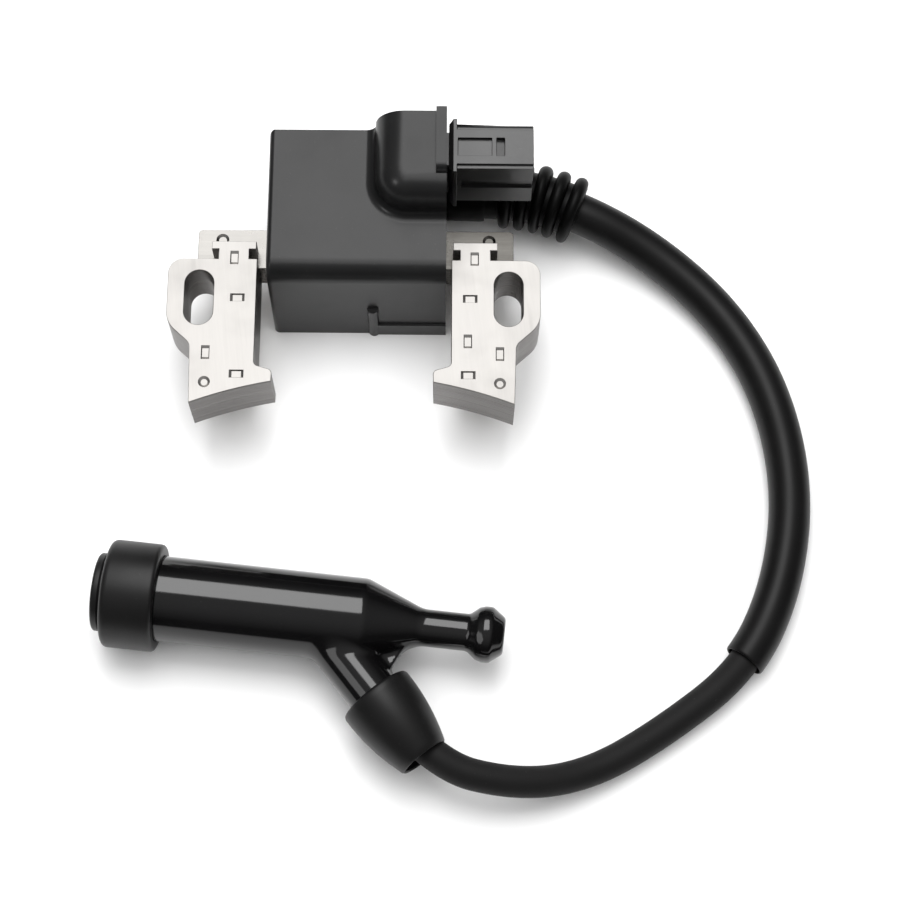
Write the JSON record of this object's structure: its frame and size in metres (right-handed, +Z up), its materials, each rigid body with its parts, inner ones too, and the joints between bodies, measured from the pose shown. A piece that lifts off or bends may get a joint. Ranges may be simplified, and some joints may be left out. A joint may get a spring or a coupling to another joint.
{
  "type": "ignition coil",
  "caption": "Small-engine ignition coil with slotted laminated legs, moulded case, blade connector and a high-tension lead with an angled spark plug cap.",
  "frame": {"origin": "middle of the coil's base, at the foot of the case's potting side, without the lead and its cap", "axes": "+X from the left leg to the right one (the connector's side), -Y towards the flywheel, +Z up from the potting side"},
  "size_m": [0.1618, 0.1517, 0.044],
  "materials": {
    "lamination_steel": "bright rolled silicon steel, satin",
    "core_steel": "darker cut steel, satin",
    "case_plastic": "moulded, fine satin texture",
    "potting_resin": "poured resin, smooth",
    "bobbin_plastic": "moulded, natural",
    "copper_wire": "enamelled copper",
    "circuit_board": "solder mask",
    "component_epoxy": "moulded epoxy",
    "capacitor_film": "dipped film",
    "terminal_brass": "machined",
    "connector_plastic": "moulded, satin",
    "blade_tin": "tinned",
    "lead_rubber": "silicone, matte",
    "conductor": "stranded",
    "sleeve_rubber": "matte",
    "boot_rubber": "matte",
    "cap_phenolic": "hard moulding, polished",
    "seal_rubber": "moulded, matte",
    "spring_steel": "drawn wire",
    "resistor_ceramic": "ceramic rod with metal ends"
  },
  "bodies": {
    "coil": {"left_leg_upper_laminations": "lamination_steel", "left_leg_lower_laminations": "lamination_steel", "right_leg_upper_laminations": "lamination_steel", "right_leg_lower_laminations": "lamination_steel", "core_bar_laminations": "core_steel", "coil_case": "case_plastic", "potting_fill": "potting_resin", "primary_bobbin": "bobbin_plastic", "primary_winding": "copper_wire", "secondary_bobbin": "bobbin_plastic", "secondary_winding": "copper_wire", "igniter_board": "circuit_board", "power_transistor": "component_epoxy", "storage_capacitor": "capacitor_film", "trigger_resistors": "component_epoxy", "ht_terminal": "terminal_brass", "connector_shell": "connector_plastic", "connector_blades": "blade_tin", "ht_lead_insulation": "lead_rubber", "ht_lead_core": "conductor", "lead_sleeve": "sleeve_rubber", "lead_bellows_boot": "boot_rubber"},
    "plug_cap": {"cap_body": "cap_phenolic", "cap_skirt_seal": "seal_rubber", "cap_entry_boot": "seal_rubber", "cap_plug_socket": "terminal_brass", "cap_clip_ring": "spring_steel", "cap_contact_spring": "spring_steel", "cap_resistor": "resistor_ceramic", "cap_lead_screw": "terminal_brass"}
  },
  "joints": [
    {"name": "cap_turn", "type": "hinge", "parent": "coil", "child": "plug_cap", "pos_m": [0.0055, -0.0944, 0.012], "axis": [0.6198, -0.7848, 0], "continuous": true}
  ]
}
